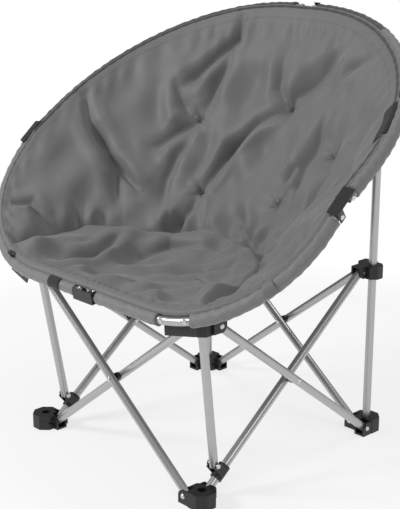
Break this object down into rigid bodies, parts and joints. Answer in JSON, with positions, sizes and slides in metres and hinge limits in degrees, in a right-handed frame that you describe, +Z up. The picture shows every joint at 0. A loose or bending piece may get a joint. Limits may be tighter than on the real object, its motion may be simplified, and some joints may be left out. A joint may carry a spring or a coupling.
{
  "type": "folding saucer chair",
  "caption": "Folding saucer chair: a padded grey saucer on a bent tube hoop, over crossed tubes with black feet and hubs that close into a bundle.",
  "frame": {"origin": "on the floor, midway between the four post axes", "axes": "+X to the chair's left as one sits, -Y towards the front, +Z up"},
  "size_m": [0.8606, 0.6073, 0.8359],
  "materials": {
    "steel_tube": "satin",
    "black_plastic": "matte",
    "dark_steel": "satin",
    "rivet_steel": "brushed",
    "seat_cloth": "woven"
  },
  "bodies": {
    "front_right_foot": {"foot_front_right": "black_plastic", "foot_rivets_front_right": "rivet_steel"},
    "front_left_foot": {"foot_front_left": "black_plastic", "foot_rivets_front_left": "rivet_steel"},
    "rear_right_foot": {"foot_rear_right": "black_plastic", "foot_rivets_rear_right": "rivet_steel", "rear_post_right": "steel_tube", "post_head_right": "black_plastic"},
    "rear_left_foot": {"foot_rear_left": "black_plastic", "foot_rivets_rear_left": "rivet_steel", "rear_post_left": "steel_tube", "post_head_left": "black_plastic"},
    "front_right_hub": {"front_hub_right": "black_plastic", "front_hub_rivets_right": "rivet_steel", "front_post_right": "steel_tube"},
    "front_left_hub": {"front_hub_left": "black_plastic", "front_hub_rivets_left": "rivet_steel", "front_post_left": "steel_tube"},
    "rear_right_hub": {"rear_hub_right": "black_plastic", "rear_hub_rivets_right": "rivet_steel"},
    "rear_left_hub": {"rear_hub_left": "black_plastic", "rear_hub_rivets_left": "rivet_steel"},
    "post_slider_right": {"post_slider_right": "black_plastic"},
    "post_slider_left": {"post_slider_left": "black_plastic"},
    "front_inner_tube": {"cross_tube_front_inner": "steel_tube"},
    "front_outer_tube": {"cross_tube_front_outer": "steel_tube", "pivot_rivet_front": "rivet_steel", "pivot_spacer_front": "black_plastic"},
    "rear_inner_tube": {"cross_tube_rear_inner": "steel_tube"},
    "rear_outer_tube": {"cross_tube_rear_outer": "steel_tube", "pivot_rivet_rear": "rivet_steel", "pivot_spacer_rear": "black_plastic"},
    "right_inner_tube": {"cross_tube_right_inner": "steel_tube"},
    "right_outer_tube": {"cross_tube_right_outer": "steel_tube", "pivot_rivet_right": "rivet_steel", "pivot_spacer_right": "black_plastic"},
    "left_inner_tube": {"cross_tube_left_inner": "steel_tube"},
    "left_outer_tube": {"cross_tube_left_outer": "steel_tube", "pivot_rivet_left": "rivet_steel", "pivot_spacer_left": "black_plastic"},
    "hoop_front_right": {"hoop_tube_front_right": "steel_tube", "hoop_bracket_front_right": "dark_steel", "hoop_rivets_front_right": "rivet_steel", "seat_front_right": "seat_cloth"},
    "hoop_front_left": {"hoop_tube_front_left": "steel_tube", "hoop_bracket_front_left": "dark_steel", "hoop_rivets_front_left": "rivet_steel", "seat_front_left": "seat_cloth"},
    "hoop_rear_right": {"hoop_tube_rear_right": "steel_tube", "hoop_bracket_rear_right": "dark_steel", "hoop_rivets_rear_right": "rivet_steel", "seat_rear_right": "seat_cloth"},
    "hoop_rear_left": {"hoop_tube_rear_left": "steel_tube", "hoop_bracket_rear_left": "dark_steel", "hoop_rivets_rear_left": "rivet_steel", "seat_rear_left": "seat_cloth"},
    "hinge_front": {"hinge_channel_front": "black_plastic"},
    "hinge_top": {"hinge_channel_top": "black_plastic"},
    "hinge_right": {"hinge_channel_right": "black_plastic"},
    "hinge_left": {"hinge_channel_left": "black_plastic"}
  },
  "joints": [
    {"name": "fold", "type": "hinge", "parent": "front_right_foot", "child": "front_outer_tube", "pos_m": [0.20488, -0.24188, 0.015], "axis": [0, 1, 0], "range_deg": [0, 42]},
    {"name": "front_cross", "type": "hinge", "parent": "front_outer_tube", "child": "front_inner_tube", "pos_m": [0, -0.22988, 0.17507], "axis": [0, 1, 0], "range_deg": [-84, 0]},
    {"name": "front_left_foot_turn", "type": "hinge", "parent": "front_inner_tube", "child": "front_left_foot", "pos_m": [-0.20488, -0.21788, 0.015], "axis": [0, 1, 0], "range_deg": [0, 42]},
    {"name": "front_right_hub_turn", "type": "hinge", "parent": "front_inner_tube", "child": "front_right_hub", "pos_m": [0.20488, -0.21788, 0.33514], "axis": [0, 1, 0], "range_deg": [0, 42]},
    {"name": "front_left_hub_turn", "type": "hinge", "parent": "front_outer_tube", "child": "front_left_hub", "pos_m": [-0.20488, -0.24188, 0.33514], "axis": [0, 1, 0], "range_deg": [-42, 0]},
    {"name": "right_tube_turn", "type": "hinge", "parent": "front_right_foot", "child": "right_inner_tube", "pos_m": [0.21788, -0.20488, 0.015], "axis": [1, 0, 0], "range_deg": [0, 42]},
    {"name": "right_cross", "type": "hinge", "parent": "right_inner_tube", "child": "right_outer_tube", "pos_m": [0.22988, 0, 0.17507], "axis": [1, 0, 0], "range_deg": [-84, 0]},
    {"name": "rear_right_foot_turn", "type": "hinge", "parent": "right_outer_tube", "child": "rear_right_foot", "pos_m": [0.24188, 0.20488, 0.015], "axis": [1, 0, 0], "range_deg": [0, 42]},
    {"name": "rear_right_hub_turn", "type": "hinge", "parent": "right_inner_tube", "child": "rear_right_hub", "pos_m": [0.21788, 0.20488, 0.33514], "axis": [1, 0, 0], "range_deg": [-42, 0]},
    {"name": "left_tube_turn", "type": "hinge", "parent": "front_left_foot", "child": "left_inner_tube", "pos_m": [-0.21788, -0.20488, 0.015], "axis": [1, 0, 0], "range_deg": [0, 42]},
    {"name": "left_cross", "type": "hinge", "parent": "left_inner_tube", "child": "left_outer_tube", "pos_m": [-0.22988, 0, 0.17507], "axis": [1, 0, 0], "range_deg": [-84, 0]},
    {"name": "rear_left_foot_turn", "type": "hinge", "parent": "left_outer_tube", "child": "rear_left_foot", "pos_m": [-0.24188, 0.20488, 0.015], "axis": [1, 0, 0], "range_deg": [0, 42]},
    {"name": "rear_left_hub_turn", "type": "hinge", "parent": "left_inner_tube", "child": "rear_left_hub", "pos_m": [-0.21788, 0.20488, 0.33514], "axis": [1, 0, 0], "range_deg": [-42, 0]},
    {"name": "rear_tube_turn", "type": "hinge", "parent": "rear_right_foot", "child": "rear_inner_tube", "pos_m": [0.20488, 0.21788, 0.015], "axis": [0, 1, 0], "range_deg": [0, 42]},
    {"name": "rear_cross", "type": "hinge", "parent": "rear_inner_tube", "child": "rear_outer_tube", "pos_m": [0, 0.22988, 0.17507], "axis": [0, 1, 0], "range_deg": [-84, 0]},
    {"name": "post_slide_right", "type": "slide", "parent": "right_inner_tube", "child": "post_slider_right", "axis": [0, 0.788, 0.6157], "range_m": [0, 0.19619]},
    {"name": "post_slide_left", "type": "slide", "parent": "left_inner_tube", "child": "post_slider_left", "axis": [0, 0.788, 0.6157], "range_m": [0, 0.19619]},
    {"name": "hoop_front_right_turn", "type": "hinge", "parent": "front_right_hub", "child": "hoop_front_right", "pos_m": [0.23745, -0.23252, 0.35307], "axis": [-0.7728, 0.39, 0.5007], "range_deg": [0, 103.81], "deforming": ["seat_front_right"]},
    {"name": "hoop_front_left_turn", "type": "hinge", "parent": "front_left_hub", "child": "hoop_front_left", "pos_m": [-0.23745, -0.23252, 0.35307], "axis": [-0.7728, -0.39, -0.5007], "range_deg": [0, 103.81], "deforming": ["seat_front_left"]},
    {"name": "hoop_rear_right_turn", "type": "hinge", "parent": "rear_right_foot", "child": "hoop_rear_right", "pos_m": [0.22127, 0.22619, 0.74519], "axis": [0.5955, -0.1487, -0.7895], "range_deg": [0, 115.66], "deforming": ["seat_rear_right"]},
    {"name": "hoop_rear_left_turn", "type": "hinge", "parent": "rear_left_foot", "child": "hoop_rear_left", "pos_m": [-0.22127, 0.22619, 0.74519], "axis": [0.5955, 0.1487, 0.7895], "range_deg": [0, 115.66], "deforming": ["seat_rear_left"]},
    {"name": "hinge_front_turn", "type": "hinge", "parent": "hoop_front_right", "child": "hinge_front", "pos_m": [0.02, -0.292, 0.352], "axis": [0, 0.1161, -0.9932], "range_deg": [0, 59.93]},
    {"name": "hinge_top_turn", "type": "hinge", "parent": "hoop_rear_right", "child": "hinge_top", "pos_m": [0.02, 0.283, 0.819], "axis": [0, 0.81, 0.5864], "range_deg": [0, 85.69]},
    {"name": "hinge_right_turn", "type": "hinge", "parent": "hoop_front_right", "child": "hinge_right", "pos_m": [0.417, -0.11171, 0.54344], "axis": [-0.9838, -0.1165, 0.136], "range_deg": [0, 118.32]},
    {"name": "hinge_left_turn", "type": "hinge", "parent": "hoop_front_left", "child": "hinge_left", "pos_m": [-0.417, -0.11171, 0.54344], "axis": [-0.9838, 0.1165, -0.136], "range_deg": [0, 118.32]}
  ],
  "couplings": [
    {"joint": "front_cross", "follows": "fold", "ratio": -2},
    {"joint": "front_left_foot_turn", "follows": "fold", "ratio": 1},
    {"joint": "front_right_hub_turn", "follows": "fold", "ratio": 1},
    {"joint": "front_left_hub_turn", "follows": "fold", "ratio": -1},
    {"joint": "right_tube_turn", "follows": "fold", "ratio": 1},
    {"joint": "right_cross", "follows": "fold", "ratio": -2},
    {"joint": "rear_right_foot_turn", "follows": "fold", "ratio": 1},
    {"joint": "rear_right_hub_turn", "follows": "fold", "ratio": -1},
    {"joint": "left_tube_turn", "follows": "fold", "ratio": 1},
    {"joint": "left_cross", "follows": "fold", "ratio": -2},
    {"joint": "rear_left_foot_turn", "follows": "fold", "ratio": 1},
    {"joint": "rear_left_hub_turn", "follows": "fold", "ratio": -1},
    {"joint": "rear_tube_turn", "follows": "fold", "ratio": 1},
    {"joint": "rear_cross", "follows": "fold", "ratio": -2},
    {"joint": "post_slide_right", "follows": "fold", "m_per_rad": 0.26764},
    {"joint": "post_slide_left", "follows": "fold", "m_per_rad": 0.26764},
    {"joint": "hoop_front_right_turn", "follows": "fold", "ratio": 2.4717},
    {"joint": "hoop_front_left_turn", "follows": "fold", "ratio": 2.4717},
    {"joint": "hoop_rear_right_turn", "follows": "fold", "ratio": 2.7538},
    {"joint": "hoop_rear_left_turn", "follows": "fold", "ratio": 2.7538},
    {"joint": "hinge_front_turn", "follows": "fold", "ratio": 1.427},
    {"joint": "hinge_top_turn", "follows": "fold", "ratio": 2.0403},
    {"joint": "hinge_right_turn", "follows": "fold", "ratio": 2.8172},
    {"joint": "hinge_left_turn", "follows": "fold", "ratio": 2.8172}
  ]
}
